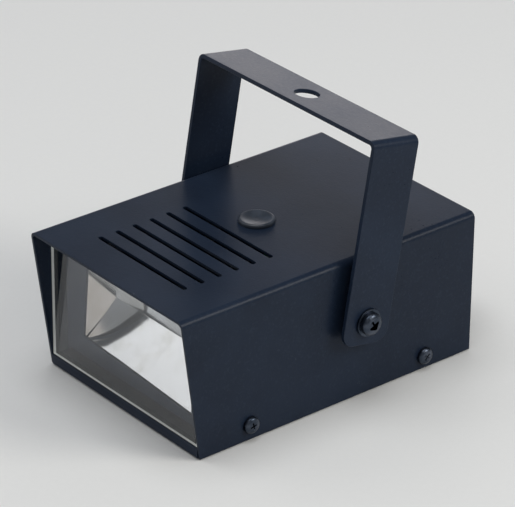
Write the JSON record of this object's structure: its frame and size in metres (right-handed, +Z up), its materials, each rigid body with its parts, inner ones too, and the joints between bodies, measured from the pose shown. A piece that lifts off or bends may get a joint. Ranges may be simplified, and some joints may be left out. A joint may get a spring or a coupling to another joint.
{
  "type": "xenon stroboscope",
  "caption": "Small xenon stroboscope: folded steel case with raked hood, clear window over a mirror trough, tilting U bracket and a rear rate knob.",
  "frame": {"origin": "in the plane that the case stands on, under the pivot side of the base tray, midway between the case's sides; the cover's rear edge is 60 mm behind it", "axes": "+X to the right seen from the front, +Y to the rear, +Z up; the lamp window faces -Y"},
  "size_m": [0.0976, 0.1388, 0.0951],
  "materials": {
    "powder_coat": "fine satin powder coat, dark slate",
    "powder_coat_dark": "fine satin powder coat, dark slate",
    "powder_coat_bracket": "fine satin powder coat, dark slate",
    "clear_acrylic": "clear cast acrylic, polished edges",
    "foam_rubber": "closed-cell foam strip",
    "black_nylon": "black moulded nylon",
    "mirror_aluminium": "polished mirror aluminium",
    "quartz_glass": "clear quartz tube",
    "nickel_wire": "drawn nickel wire",
    "silicone_rubber": "white silicone",
    "wire_red": "red wire insulation",
    "wire_grey": "grey wire insulation",
    "wire_green": "green and yellow earth wire insulation",
    "board_laminate": "brown phenolic board",
    "nickel_brass": "plated brass",
    "zinc_screw": "bright zinc plate",
    "black_screw": "black zinc plate, worn bright at the recess",
    "capacitor_sleeve": "shrunk dark blue sleeve",
    "ceramic_white": "white ceramic",
    "diode_black": "black epoxy",
    "coil_tape": "amber tape over the winding",
    "film_case": "red-brown dipped case",
    "fuse_glass": "glass fuse with plated ends",
    "terminal_green": "green moulded terminal",
    "pot_case": "plated steel can",
    "pot_shaft_metal": "turned aluminium",
    "knob_plastic": "black fluted plastic with a white line"
  },
  "bodies": {
    "housing": {"cover_shell": "powder_coat", "base_tray": "powder_coat", "front_panel": "powder_coat_dark", "window_lens": "clear_acrylic", "window_pads": "foam_rubber", "hole_plug": "black_nylon", "reflector_trough": "mirror_aluminium", "reflector_end_plates": "mirror_aluminium", "xenon_tube": "quartz_glass", "tube_electrodes": "nickel_wire", "tube_grommets": "silicone_rubber", "tube_leads": "wire_red", "trigger_wire": "nickel_wire", "circuit_board": "board_laminate", "board_standoffs": "nickel_brass", "board_screws": "zinc_screw", "reservoir_capacitors": "capacitor_sleeve", "ballast_resistor": "ceramic_white", "rectifier_diodes": "diode_black", "trigger_coil": "coil_tape", "trigger_capacitor": "film_case", "trigger_thyristor": "diode_black", "fuse": "fuse_glass", "fuse_clips": "nickel_brass", "terminal_block": "terminal_green", "terminal_screws": "zinc_screw", "rate_pot_body": "pot_case", "rate_pot_nut": "zinc_screw", "rate_wires": "wire_grey", "cable_gland": "black_nylon", "gland_nut": "black_nylon", "earth_tag": "nickel_brass", "earth_screw": "zinc_screw", "earth_nut": "zinc_screw", "earth_wire": "wire_green", "cover_screws": "black_screw", "cover_nuts": "zinc_screw", "pivot_screws": "black_screw", "pivot_washers": "black_screw", "pivot_spacers": "black_nylon", "pivot_nuts": "zinc_screw"},
    "bracket": {"mounting_bracket": "powder_coat_bracket"},
    "rate_control": {"rate_knob": "knob_plastic", "rate_pot_shaft": "pot_shaft_metal"}
  },
  "joints": [
    {"name": "bracket_tilt", "type": "hinge", "parent": "housing", "child": "bracket", "pos_m": [0, 0.0089, 0.0303], "axis": [1, 0, 0], "range_deg": [-62, 68]},
    {"name": "rate_turn", "type": "hinge", "parent": "housing", "child": "rate_control", "pos_m": [0.018, 0.0598, 0.03], "axis": [0, 1, 0], "range_deg": [-140, 140]}
  ]
}
